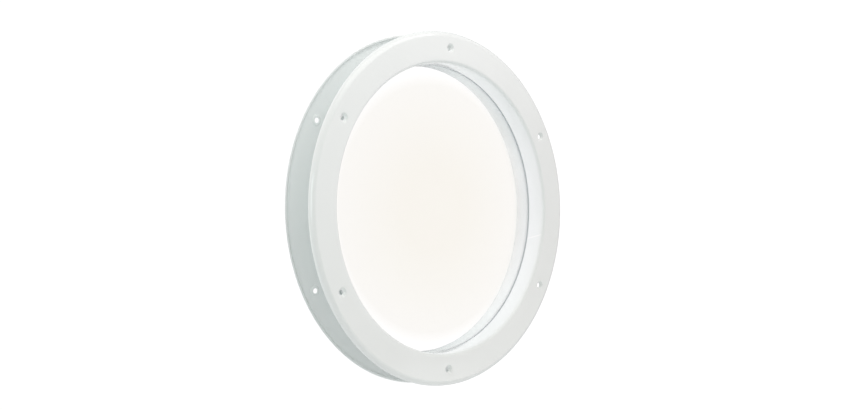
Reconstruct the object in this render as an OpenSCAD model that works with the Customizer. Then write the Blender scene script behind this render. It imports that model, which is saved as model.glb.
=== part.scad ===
// Round porthole window for a door leaf.
//
// Two pressed sheet rings, one on each side of the door, hold a clear round pane between
// the ends of their collars. The flanges lie on the door's two faces and are screwed to it
// through six countersunk holes each. The ring axis is Y and the front looks along -Y.

/* [Rings] */
// Outer radius of both flanges
outer_r = 200; // [180:1:300]
// Radius of the clear opening
bore_r = 164; // [120:1:168]
// Thickness of the ring sheet
sheet = 2; // [1:0.1:2.5]
// Whole depth over both flanges
total_depth = 48; // [40:0.5:80]
// Depth of the front ring's collar, measured from its face
front_collar = 23.3; // [12:0.1:28]
// Radius of the drawn edge between flange and collar
edge_round = 4; // [3:0.5:6]

/* [Rim] */
// Depth of the turned-back rim, which meets the door
rim_depth = 5; // [3.5:0.5:6]
// Radius of the rim's curve
rim_round = 8.2; // [8.1:0.1:9]
// Depth of the centre of the rim's curve behind the face
rim_centre_depth = 8; // [7:0.1:8]

/* [Screw holes] */
// Number of holes in each flange
hole_count = 6; // [3:1:8]
// Pitch circle diameter of the holes
hole_pcd = 363.4; // [350:0.2:372]
// Radius of the plain hole
hole_r = 2.8; // [2:0.1:3]
// Radius of the countersink at the face
sink_r = 5.3; // [4.5:0.1:6]
// Length of plain wall behind the countersink
land = 0.8; // [0.5:0.1:1.5]

/* [Glazing] */
// Thickness of the pane
pane_t = 4; // [3:0.5:6]
// Thickness of each glazing gasket
gasket_t = 1; // [0.5:0.1:1.5]
// How far the gaskets stand back from the bore
gasket_inset = 0.4; // [0:0.1:1]
// Ground bevel on the pane's edge
pane_bevel = 0.5; // [0.2:0.1:1]
// Gap where each gasket's ends meet
joint_gap = 0.4; // [0.2:0.1:1]
// Place of the front gasket's joint, below the horizontal on the right
joint_angle = 34; // [0:1:90]

/* [Hidden] */
$fn = 180;

eps = 0.01;
collar_outer_r = bore_r + sheet;
pane_front = front_collar + gasket_t;
pane_rear = pane_front + pane_t;
rear_collar = total_depth - pane_rear - gasket_t;
rim_centre_r = outer_r - sqrt(pow(rim_round, 2) - pow(rim_centre_depth - rim_depth, 2));
crease_r = rim_centre_r + sqrt(pow(rim_round, 2) - pow(rim_centre_depth, 2));
sink_depth = sink_r - hole_r;
// The dimple's cone runs beside the countersink's, one sheet thickness away from it
dimple_reach = sink_r + sheet * sqrt(2);
dimple_base_r = dimple_reach - sheet / 2;
dimple_tip_r = dimple_reach - sink_depth - land;
white_coat = [0.93, 0.93, 0.92];
grey_rubber = [0.45, 0.47, 0.47];
foam_white = [0.86, 0.87, 0.88];
clear_pane = [0.95, 0.96, 0.92, 0.35];

// Everything is drawn round Z with the front face at zero, then stood up on its rim
module upright() {
    translate([0, -total_depth / 2, 0]) rotate([-90, 0, 0]) children();
}

// The same, turned round so that the face is the back of the window
module upright_rear() {
    mirror([0, 1, 0]) upright() children();
}

module at_holes() {
    for (i = [0 : hole_count - 1])
        rotate([0, 0, (i + 0.5) * 360 / hole_count]) translate([hole_pcd / 2, 0, 0]) children();
}

// Quarter of the sheet where the face rolls over into the collar
module drawn_edge_section() {
    intersection() {
        difference() {
            circle(r = edge_round);
            circle(r = edge_round - sheet);
        }
        translate([-edge_round, -edge_round]) square(edge_round);
    }
}

// The sheet where the face turns back to meet the door, cut off flat at the rim
module rim_section() {
    intersection() {
        translate([rim_centre_r, rim_centre_depth]) difference() {
            circle(r = rim_round);
            circle(r = rim_round - sheet);
        }
        translate([rim_centre_r, 0]) square([outer_r + 1 - rim_centre_r, rim_depth]);
    }
}

// One ring's section: radius across, depth behind the face upwards
module ring_section(collar_depth) {
    translate([bore_r, edge_round]) square([sheet, collar_depth - edge_round]);
    translate([bore_r + edge_round, edge_round]) drawn_edge_section();
    translate([bore_r + edge_round, 0]) square([crease_r - bore_r - edge_round, sheet]);
    rim_section();
}

// Sheet pressed down behind a screw hole, so that the countersink has metal round it
module dimple() {
    translate([0, 0, sheet / 2])
        cylinder(h = sink_depth + land - sheet / 2, r1 = dimple_base_r, r2 = dimple_tip_r);
}

module countersunk_hole() {
    translate([0, 0, -eps]) cylinder(h = sink_depth + eps, r1 = sink_r + eps, r2 = hole_r);
    translate([0, 0, sink_depth - eps]) cylinder(h = land + 1, r = hole_r);
}

module ring(collar_depth) {
    difference() {
        union() {
            rotate_extrude() ring_section(collar_depth);
            at_holes() dimple();
        }
        at_holes() countersunk_hole();
    }
}

// A flat strip laid in a circle, its two ends nearly touching
module gasket_ring() {
    difference() {
        cylinder(h = gasket_t, r = collar_outer_r);
        translate([0, 0, -1]) cylinder(h = gasket_t + 2, r = bore_r + gasket_inset);
        translate([bore_r - 1, -joint_gap / 2, -1]) cube([sheet + 2, joint_gap, gasket_t + 2]);
    }
}

module front_frame() {
    color(white_coat) upright() ring(front_collar);
}

module rear_frame() {
    color(white_coat) upright_rear() ring(rear_collar);
}

module pane() {
    color(clear_pane) upright() translate([0, 0, pane_front]) rotate_extrude() polygon([
        [0, 0],
        [collar_outer_r - pane_bevel, 0],
        [collar_outer_r, pane_bevel],
        [collar_outer_r, pane_t - pane_bevel],
        [collar_outer_r - pane_bevel, pane_t],
        [0, pane_t]
    ]);
}

module front_gasket() {
    color(grey_rubber) upright()
        translate([0, 0, front_collar]) rotate([0, 0, joint_angle]) gasket_ring();
}

module rear_gasket() {
    color(foam_white) upright()
        translate([0, 0, pane_rear]) rotate([0, 0, 90]) gasket_ring();
}

front_frame();
rear_frame();
pane();
front_gasket();
rear_gasket();
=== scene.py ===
import math

import bmesh
import bpy
from mathutils import Matrix, Quaternion, Vector


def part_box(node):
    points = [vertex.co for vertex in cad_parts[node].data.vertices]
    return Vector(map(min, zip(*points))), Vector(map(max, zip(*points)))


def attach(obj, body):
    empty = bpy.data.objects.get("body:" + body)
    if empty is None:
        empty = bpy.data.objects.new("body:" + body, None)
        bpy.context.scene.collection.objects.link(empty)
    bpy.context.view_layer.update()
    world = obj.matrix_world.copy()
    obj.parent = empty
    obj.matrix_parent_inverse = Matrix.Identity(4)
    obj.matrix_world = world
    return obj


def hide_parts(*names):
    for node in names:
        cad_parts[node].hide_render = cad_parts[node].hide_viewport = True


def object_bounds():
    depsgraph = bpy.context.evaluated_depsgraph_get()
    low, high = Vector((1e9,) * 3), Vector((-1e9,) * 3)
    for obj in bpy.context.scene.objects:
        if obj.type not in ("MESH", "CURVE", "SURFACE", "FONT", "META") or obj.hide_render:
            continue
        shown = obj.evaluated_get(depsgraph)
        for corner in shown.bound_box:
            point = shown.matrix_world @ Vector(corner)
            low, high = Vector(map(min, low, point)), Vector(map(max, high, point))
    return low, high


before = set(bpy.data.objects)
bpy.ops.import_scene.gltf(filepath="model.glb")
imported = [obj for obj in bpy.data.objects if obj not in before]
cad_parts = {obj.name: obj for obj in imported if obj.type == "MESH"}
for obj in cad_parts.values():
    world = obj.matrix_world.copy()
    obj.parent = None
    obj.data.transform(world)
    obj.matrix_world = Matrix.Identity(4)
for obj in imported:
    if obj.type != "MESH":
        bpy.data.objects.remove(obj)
cad_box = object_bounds()


# Camera. It stands to the left of the ring axis, a little under the middle, and looks in
# at about 44 degrees, so that the gap for the door shows past the left edge.
azimuth, elevation, roll = math.radians(-44.31), math.radians(-1.56), math.radians(0.36)
aim = Vector((-0.0361, cad_box[0].y, 0.0026))
distance = 1.3133
back = Vector((
    math.sin(azimuth) * math.cos(elevation),
    -math.cos(azimuth) * math.cos(elevation),
    math.sin(elevation),
))
camera = bpy.data.objects.new("camera", bpy.data.cameras.new("camera"))
bpy.context.scene.collection.objects.link(camera)
camera.data.lens = 49.93
camera.data.sensor_width = 36
camera.location = aim + back * distance
camera.rotation_mode = "QUATERNION"
camera.rotation_quaternion = Quaternion(back, roll) @ (-back).to_track_quat("-Z", "Y")
bpy.context.scene.camera = camera


# Studio. A pale room, brightest low behind the window on the left and in front of it on the
# right. The camera and the glass see a white backdrop in its place. Three softboxes light the
# rings, and a pale floor lies well below the window, which hangs as it would in a door.
class Signal:
    """One output of a node. A sum on it adds its own Math node."""

    def __init__(self, shader, socket):
        self.shader = shader
        self.socket = socket

    def math(self, operation, *others, reverse=False):
        terms = [self, *others]
        if reverse:
            terms.reverse()
        inputs = dict(enumerate(terms))
        return self.shader.node("ShaderNodeMath", {"operation": operation}, inputs)

    def __add__(self, other):
        return self.math("ADD", other)

    def __sub__(self, other):
        return self.math("SUBTRACT", other)

    def __rsub__(self, other):
        return self.math("SUBTRACT", other, reverse=True)

    def __mul__(self, other):
        return self.math("MULTIPLY", other)

    def __truediv__(self, other):
        return self.math("DIVIDE", other)

    def __rtruediv__(self, other):
        return self.math("DIVIDE", other, reverse=True)

    __radd__ = __add__
    __rmul__ = __mul__


class Shader:
    """A node tree. Its node method makes any node from its settings and inputs."""

    def __init__(self, tree):
        self.tree = tree
        tree.nodes.clear()

    def node(self, kind, settings=None, inputs=None, output=0):
        node = self.tree.nodes.new(kind)
        for name, value in (settings or {}).items():
            if name == "stops":
                ramp = node.color_ramp.elements
                while len(ramp) < len(value):
                    ramp.new(0.5)
                for stop, (position, colour) in zip(ramp, value):
                    stop.position = position
                    stop.color = colour
            else:
                setattr(node, name, value)
        for name, value in (inputs or {}).items():
            if isinstance(value, Signal):
                self.tree.links.new(value.socket, node.inputs[name])
            else:
                node.inputs[name].default_value = value
        return Signal(self, node.outputs[output]) if node.outputs else node

    def vector(self, operation, first, second=None, scale=None):
        inputs = {0: first}
        if second is not None:
            inputs[1] = second
        if scale is not None:
            inputs["Scale"] = scale
        output = "Value" if operation in ("DOT_PRODUCT", "LENGTH") else 0
        return self.node("ShaderNodeVectorMath", {"operation": operation}, inputs, output)


world = bpy.data.worlds.new("studio")
bpy.context.scene.world = world
world.use_nodes = True
room = Shader(world.node_tree)
looking = room.node("ShaderNodeTexCoord", output="Generated")
glow = None
# Each lit part of the room: the way it faces, how narrow it is, and its colour. The colours
# began as a least-squares fit, were rounded, and were then in part changed.
for facing, narrowness, colour in (
    ((0, 0, 1), 1, (0.27, 0.32, 0.30)),
    ((0, 0, -1), 1, (0.36, 0.45, 0.45)),
    ((1, -1, 0), 6, (0.90, 0.78, 0.80)),
    ((1, 0, 0), 3, (0.22, 0.21, 0.23)),
    ((0, -1, 1), 4, (0.40, 0.35, 0.32)),
    ((-1, 0, 1), 4, (0.57, 0.46, 0.44)),
    ((-1, 1, -1), 4, (1.63, 1.52, 1.56)),
    ((-1, 1, 1), 4, (0.64, 0.59, 0.66)),
    ((-1, 1, 0), 6, (0.13, 0.11, 0.13)),
    ((0, 1, -0.7), 4, (0.42, 0.38, 0.44)),
    ((0, 1, 1), 4, (0.34, 0.43, 0.47)),
):
    toward = room.vector("DOT_PRODUCT", looking, Vector(facing).normalized())
    panel = toward.math("MAXIMUM", 0.0).math("POWER", narrowness)
    light = room.vector("SCALE", colour, scale=panel)
    glow = room.vector("ADD", glow, light) if glow else light
glow = room.vector("ADD", glow, (0.17, 0.17, 0.165))
lighting = room.node("ShaderNodeBackground", None, {"Color": glow})
backdrop = room.node("ShaderNodeBackground", None, {"Color": (1, 1, 1, 1), "Strength": 1.05})
seen = room.node("ShaderNodeLightPath", output="Is Camera Ray")
through_glass = room.node("ShaderNodeLightPath", output="Is Transmission Ray")
shown = seen.math("MAXIMUM", through_glass)
studio = room.node("ShaderNodeMixShader", None, {0: shown, 1: lighting, 2: backdrop})
room.node("ShaderNodeOutputWorld", None, {"Surface": studio})

bpy.context.scene.view_settings.view_transform = "Standard"


class Finish(Shader):
    """A material with one Principled surface, which feed links to and show covers over."""

    def __init__(self, name, fixed):
        self.material = bpy.data.materials.new(name)
        self.material.use_nodes = True
        super().__init__(self.material.node_tree)
        self.surface = self.node("ShaderNodeBsdfPrincipled", None, fixed)
        self.output = self.node("ShaderNodeOutputMaterial", None, {"Surface": self.surface})

    def feed(self, name, signal):
        self.tree.links.new(signal.socket, self.surface.socket.node.inputs[name])

    def show(self, surface):
        self.tree.links.new(surface.socket, self.output.inputs["Surface"])


def make_object(name, mesh, finish):
    data = bpy.data.meshes.new(name)
    mesh.to_mesh(data)
    mesh.free()
    data.materials.append(finish.material)
    made = bpy.data.objects.new(name, data)
    bpy.context.scene.collection.objects.link(made)
    return made


floor_paper = Finish(
    "floor_paper",
    {"Roughness": 0.9, "Emission Color": (1, 1, 1, 1), "Emission Strength": 0.06},
)
grain = floor_paper.node("ShaderNodeTexNoise", None, {"Scale": 3.0})
paper_tones = [(0.3, (0.84, 0.84, 0.84, 1)), (0.7, (0.86, 0.86, 0.86, 1))]
tone = floor_paper.node("ShaderNodeValToRGB", {"stops": paper_tones}, {0: grain})
floor_paper.feed("Base Color", tone)

floor_r, floor_drop = 1.4, 0.9
floor_z = cad_box[0].z - floor_drop
floor_mesh = bmesh.new()
bmesh.ops.create_circle(floor_mesh, cap_ends=True, segments=96, radius=floor_r)
bmesh.ops.translate(floor_mesh, verts=floor_mesh.verts, vec=(0, 0, floor_z))
floor = make_object("floor", floor_mesh, floor_paper)


def add_softbox(name, place, aimed_at, size, power, colour):
    lamp = bpy.data.lights.new(name, "AREA")
    lamp.shape = "RECTANGLE"
    lamp.size, lamp.size_y = size
    lamp.energy = power
    lamp.color = colour
    box = bpy.data.objects.new(name, lamp)
    bpy.context.scene.collection.objects.link(box)
    box.location = place
    box.rotation_mode = "QUATERNION"
    box.rotation_quaternion = (Vector(aimed_at) - Vector(place)).to_track_quat("-Z", "Y")
    box.visible_camera = False
    box.visible_transmission = False


for name, place, aimed_at, size, power, colour in (
    ("ceiling_box", (0, -0.30, 0.48), (0, 0, 0.1), (0.6, 0.3), 1.0, (1, 0.97, 1)),
    ("low_box", (0.16, -0.38, -0.36), (0.05, 0, -0.12), (0.5, 0.3), 0.34, (0.95, 1, 0.98)),
    ("gap_box", (-0.66, -0.40, 0.06), (-0.2, 0.02, 0.02), (0.15, 0.25), 0.70, (0.84, 0.98, 0.96)),
):
    add_softbox(name, place, aimed_at, size, power, colour)


# White coat. Gloss stove enamel on the pressed rings: hardly any colour, a fine orange
# peel a couple of millimetres across, and a gloss that varies a little over the sheet. It
# covers the collar's ground weld, a faint slanted bump in the front bore whose colour is painted
# lighter as a highlight.
MM = 0.001
bore_r = 164 * MM
weld_drop, weld_middle, weld_slant = 31.3 * MM, 12 * MM, 0.23
weld_half, weld_end = 0.6 * MM, 1 * MM

coat = Finish("white_coat", {"IOR": 1.5})
place = coat.node("ShaderNodeTexCoord", output="Object")
cloudy = coat.node("ShaderNodeTexNoise", None, {"Vector": place, "Scale": 14.0, "Detail": 3.0})
peel = coat.node("ShaderNodeTexNoise", None, {"Vector": place, "Scale": 420.0, "Detail": 1.0})
enamel_tones = [(0.3, (0.818, 0.848, 0.838, 1)), (0.7, (0.838, 0.868, 0.858, 1))]
enamel = coat.node("ShaderNodeValToRGB", {"stops": enamel_tones}, {0: cloudy})
across, along, up = (
    coat.node("ShaderNodeSeparateXYZ", None, {0: place}, output=axis) for axis in "XYZ"
)
in_bore = (across * across + up * up).math("SQRT").math("LESS_THAN", bore_r + 0.5 * MM)
off_weld = (up + weld_drop + (along + weld_middle) * weld_slant).math("ABSOLUTE")
on_weld = off_weld.math("LESS_THAN", weld_half)
on_front = along.math("LESS_THAN", -weld_end)
on_right = across.math("GREATER_THAN", 0.0)
weld_and_highlight = in_bore * on_weld * on_front * on_right
# The colour sockets of a Mix node share their names, so they go by number
# Painted highlight: along the weld the enamel colour is mixed towards a lighter white, and the
# same mask raises the bump
weld_highlight_mix = {0: weld_and_highlight * 0.7, 6: enamel, 7: (0.95, 0.95, 0.94, 1)}
enamel_and_weld_highlight = coat.node("ShaderNodeMix", {"data_type": "RGBA"}, weld_highlight_mix, output=2)
relief = {"Strength": 0.06, "Distance": 0.0002, "Height": peel + weld_and_highlight * 1.5}
coat.feed("Base Color", enamel_and_weld_highlight)
coat.feed("Roughness", 0.10 + cloudy * 0.08)
coat.feed("Normal", coat.node("ShaderNodeBump", None, relief))


# Front ring. One sheet of 2 mm steel, pressed and spun: a flat flange, a rim turned back to
# meet the door, and a collar drawn in to the pane. Each screw hole is dimpled and countersunk.
sheet = 2 * MM
collar_r = bore_r + sheet
drawn_edge = 4 * MM
rim_curve, rim_centre, rim_depth = 8.2 * MM, 8 * MM, 5 * MM
rim_steps = 8
ring_steps = 480
sharp_bend = math.radians(38)

hole_circle = 181.7 * MM
hole_r, sink_r = 2.8 * MM, 5.3 * MM
sink_depth, land_depth = 2.5 * MM, 3.3 * MM
dimple_r, tip_r = 6.13 * MM, 4.83 * MM
hole_angles = [math.radians(60 * i + 30) for i in range(6)]
hole_centres = [Vector((math.cos(a), 0, -math.sin(a))) * hole_circle for a in hole_angles]

# The flange is cut in small cells round each hole, and a block of them is opened for it
patch_reach = 9.6 * MM
patch_in, patch_out = hole_circle - patch_reach, hole_circle + patch_reach
patch_cells = 8
patch_half = patch_cells * math.pi / ring_steps

# How near counts as the same: on a circle, in a plane, and for points to be merged
on_circle, in_plane, merged = 0.02 * MM, 0.001 * MM, 0.005 * MM
ring_axis = [Vector((0, 0, 0))]


def radius_of(point):
    return math.hypot(point.x, point.z)


def edges_round(mesh, centres, radius, y):
    def on_this(point, centre):
        off_radius = abs(radius_of(point - centre) - radius)
        return off_radius < on_circle and abs(point.y - y) < on_circle

    return [
        edge for edge in mesh.edges
        if any(all(on_this(v.co, centre) for v in edge.verts) for centre in centres)
    ]


def soften(mesh, edges, width, segments):
    bmesh.ops.bevel(
        mesh, geom=edges, offset=width, affect="EDGES", segments=segments, profile=0.5,
        material=-1, clamp_overlap=True,
    )


def rim_arc(rim_r, radius, start_depth):
    centre_r = rim_r - math.sqrt(rim_curve ** 2 - (rim_centre - rim_depth) ** 2)
    first = math.acos((rim_centre - start_depth) / radius)
    last = math.acos((rim_centre - rim_depth) / radius)
    turns = [first + (last - first) * i / rim_steps for i in range(rim_steps + 1)]
    return [(centre_r + radius * math.sin(t), rim_centre - radius * math.cos(t)) for t in turns]


def open_patch(mesh, angle, y):
    block = []
    for face in mesh.faces:
        middle = face.calc_center_median()
        if abs(middle.y - y) > in_plane or not patch_in < radius_of(middle) < patch_out:
            continue
        turn = math.atan2(-middle.z, middle.x) - angle
        if abs((turn + math.pi) % (2 * math.pi) - math.pi) < patch_half:
            block.append(face)
    bmesh.ops.delete(mesh, geom=block, context="FACES")
    return [e for e in mesh.edges if e.is_boundary and abs(e.verts[0].co.y - y) < in_plane]


def draw_walls(mesh, lip, centre, walls):
    for y, radius in walls:
        grown = bmesh.ops.extrude_edge_only(mesh, edges=lip)["geom"]
        moved = {v for v in grown if isinstance(v, bmesh.types.BMVert)}
        lip = [
            e for e in grown if isinstance(e, bmesh.types.BMEdge) and moved.issuperset(e.verts)
        ]
        for vertex in moved:
            outward = Vector((vertex.co.x, 0, vertex.co.z)) - centre
            vertex.co = centre + outward.normalized() * radius
            vertex.co.y = y


def press_ring(face_y, collar_y, rim_r):
    inward = 1 if collar_y > face_y else -1
    collar = abs(collar_y - face_y)

    # The section, as radius and depth behind the face, is spun round the ring's axis
    outer_arc = rim_arc(rim_r, rim_curve, 0)
    inner_arc = rim_arc(rim_r, rim_curve - sheet, sheet)
    outside = [(bore_r, collar), (bore_r, 0), (patch_in, 0), (patch_out, 0)] + outer_arc
    inside = inner_arc[::-1] + [
        (patch_out, sheet),
        (patch_in, sheet),
        (collar_r, sheet),
        (collar_r, collar),
    ]
    mesh = bmesh.new()
    loop = [mesh.verts.new((r, face_y + inward * depth, 0)) for r, depth in outside + inside]
    edges = [mesh.edges.new(pair) for pair in zip(loop, loop[1:] + loop[:1])]
    across_patch = [e for e in edges if abs(e.calc_length() - 2 * patch_reach) < in_plane]
    bmesh.ops.subdivide_edges(mesh, edges=across_patch, cuts=patch_cells - 1)
    bmesh.ops.spin(
        mesh, geom=mesh.verts[:] + mesh.edges[:], cent=(0, 0, 0), axis=(0, 1, 0),
        angle=2 * math.pi, steps=ring_steps, use_merge=True,
    )
    back_y = face_y + inward * sheet
    soften(mesh, edges_round(mesh, ring_axis, bore_r, face_y), drawn_edge, 10)
    soften(mesh, edges_round(mesh, ring_axis, collar_r, back_y), drawn_edge - sheet, 6)

    # Each hole: the front is sunk to the plain hole and the back is pressed out round it
    front_walls = [(0, sink_r), (sink_depth, hole_r), (land_depth, hole_r)]
    back_walls = [(sheet, dimple_r), (land_depth, tip_r), (land_depth, hole_r)]
    for angle, centre in zip(hole_angles, hole_centres):
        for walls in (front_walls, back_walls):
            placed = [(face_y + inward * depth, radius) for depth, radius in walls]
            draw_walls(mesh, open_patch(mesh, angle, placed[0][0]), centre, placed)
        throat = [v for v in mesh.verts if v.is_boundary]
        bmesh.ops.remove_doubles(mesh, verts=throat, dist=in_plane)
    for radius, depth, width, segments in (
        (sink_r, 0, 0.35 * MM, 3),
        (dimple_r, sheet, 0.5 * MM, 3),
        (hole_r, sink_depth, 0.15 * MM, 2),
        (hole_r, land_depth, 0.15 * MM, 2),
        (tip_r, land_depth, 0.25 * MM, 2),
    ):
        lip = edges_round(mesh, hole_centres, radius, face_y + inward * depth)
        soften(mesh, lip, width, segments)

    # The sheet's cut ends, at the collar and at the rim, are broken
    rim_y = face_y + inward * rim_depth
    for radius, y in (
        (bore_r, collar_y),
        (collar_r, collar_y),
        (rim_r, rim_y),
        (inner_arc[-1][0], rim_y),
    ):
        soften(mesh, edges_round(mesh, ring_axis, radius, y), 0.3 * MM, 2)
    bmesh.ops.remove_doubles(mesh, verts=mesh.verts, dist=merged)
    bmesh.ops.recalc_face_normals(mesh, faces=mesh.faces)

    # Sharp bends stay crisp, and so does the crease where the flange turns into the rim
    for face in mesh.faces:
        face.smooth = True
    for edge in mesh.edges:
        edge.smooth = edge.calc_face_angle(0) < sharp_bend
    for edge in edges_round(mesh, ring_axis, outer_arc[0][0], face_y):
        edge.smooth = False
    return mesh


low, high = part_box("front_frame")
front_ring = make_object("front_ring", press_ring(low.y, high.y, high.z), coat)
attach(front_ring, "root")
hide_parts("front_frame")


# Rear ring. The same pressing turned round, with a shorter collar, so that the pane sits
# nearly halfway between the two flanges.
low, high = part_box("rear_frame")
rear_ring = make_object("rear_ring", press_ring(high.y, low.y, high.z), coat)
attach(rear_ring, "root")
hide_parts("rear_frame")


# Pane. A round of clear glass, 4 mm thick, faintly warm, with painted shade that darkens it
# towards the middle, bevelled and ground matt at its rim, which stands flush with the outside of
# the collars. Shadow and diffuse rays pass straight through, so that light reaches what lies
# behind it.
ground_width, bevel_width = 0.6 * MM, 0.5 * MM
clear_pane = Finish("clear_pane", {"Roughness": 0.0, "IOR": 1.5, "Transmission Weight": 1.0})
pane_place = clear_pane.node("ShaderNodeTexCoord", output="Object")
from_middle = clear_pane.vector("LENGTH", pane_place) / collar_r
# Painted shade: the glass colour is darker and warmer towards the middle and nearly white near
# the rim
glass_tint_and_painted_shade = [
    (0.3, (0.887, 0.863, 0.808, 1)),
    (0.85, (0.910, 0.897, 0.868, 1)),
    (0.95, (0.985, 0.985, 0.985, 1)),
]
tint_with_painted_shade = clear_pane.node("ShaderNodeValToRGB", {"stops": glass_tint_and_painted_shade}, {0: from_middle})
clear_pane.feed("Base Color", tint_with_painted_shade)
shadow_ray = clear_pane.node("ShaderNodeLightPath", output="Is Shadow Ray")
diffuse_ray = clear_pane.node("ShaderNodeLightPath", output="Is Diffuse Ray")
clear_pane.feed("Alpha", 1 - shadow_ray.math("MAXIMUM", diffuse_ray))
ground_look = {"Base Color": (0.55, 0.62, 0.60, 1), "Roughness": 0.6}
ground = clear_pane.node("ShaderNodeBsdfPrincipled", None, ground_look)
at_rim = from_middle.math("GREATER_THAN", (collar_r - ground_width) / collar_r)
edged = {0: at_rim * 0.85, 1: clear_pane.surface, 2: ground}
clear_pane.show(clear_pane.node("ShaderNodeMixShader", None, edged))

low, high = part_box("pane")
disc = bmesh.new()
upright = Matrix.Rotation(math.pi / 2, 3, "X")
bmesh.ops.create_circle(disc, cap_ends=True, segments=360, radius=collar_r)
bmesh.ops.rotate(disc, verts=disc.verts, cent=(0, 0, 0), matrix=upright)
bmesh.ops.translate(disc, verts=disc.verts, vec=(0, low.y, 0))
grown = bmesh.ops.extrude_face_region(disc, geom=disc.faces[:])["geom"]
moved = [v for v in grown if isinstance(v, bmesh.types.BMVert)]
bmesh.ops.translate(disc, verts=moved, vec=(0, high.y - low.y, 0))
corners = [e for e in disc.edges if abs(e.verts[0].co.y - e.verts[1].co.y) < in_plane]
soften(disc, corners, bevel_width, 1)
bmesh.ops.recalc_face_normals(disc, faces=disc.faces)
glass = make_object("glass", disc, clear_pane)
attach(glass, "root")
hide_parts("pane")


# Gaskets. Flat strips laid in a ring on each face of the pane, grey rubber in front and
# white foam behind, set back a little from the bore and with their ends 0.4 mm apart.
strip_inset, strip_gap = 0.4 * MM, 0.4 * MM
strip_steps = 360
strip_merged = 1e-7


def lay_strip(node, joint):
    low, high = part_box(node)
    inner_r = bore_r + strip_inset
    corners = [(inner_r, low.y), (collar_r, low.y), (collar_r, high.y), (inner_r, high.y)]
    strip = bmesh.new()
    end = strip.faces.new([strip.verts.new((r, y, 0)) for r, y in corners])
    to_joint = Matrix.Rotation(joint, 3, "Y")
    bmesh.ops.rotate(strip, verts=strip.verts, cent=(0, 0, 0), matrix=to_joint)
    bmesh.ops.spin(
        strip, geom=[end], cent=(0, 0, 0), axis=(0, 1, 0),
        angle=2 * math.pi - strip_gap / bore_r, steps=strip_steps,
    )
    bmesh.ops.remove_doubles(strip, verts=strip.verts, dist=strip_merged)
    bmesh.ops.recalc_face_normals(strip, faces=strip.faces)
    return strip


grey_rubber = Finish("grey_rubber", {"Base Color": (0.52, 0.54, 0.56, 1), "Roughness": 0.7})
white_foam = Finish("white_foam", {"Base Color": (0.80, 0.81, 0.83, 1), "Roughness": 0.8})
front_joint, rear_joint = math.radians(34), math.radians(90)
front_strip = make_object("front_strip", lay_strip("front_gasket", front_joint), grey_rubber)
rear_strip = make_object("rear_strip", lay_strip("rear_gasket", rear_joint), white_foam)
for strip, node, slot in (
    (front_strip, "front_gasket", "grey_gasket"), (rear_strip, "rear_gasket", "white_gasket"),
):
    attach(strip, "root")
    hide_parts(node)
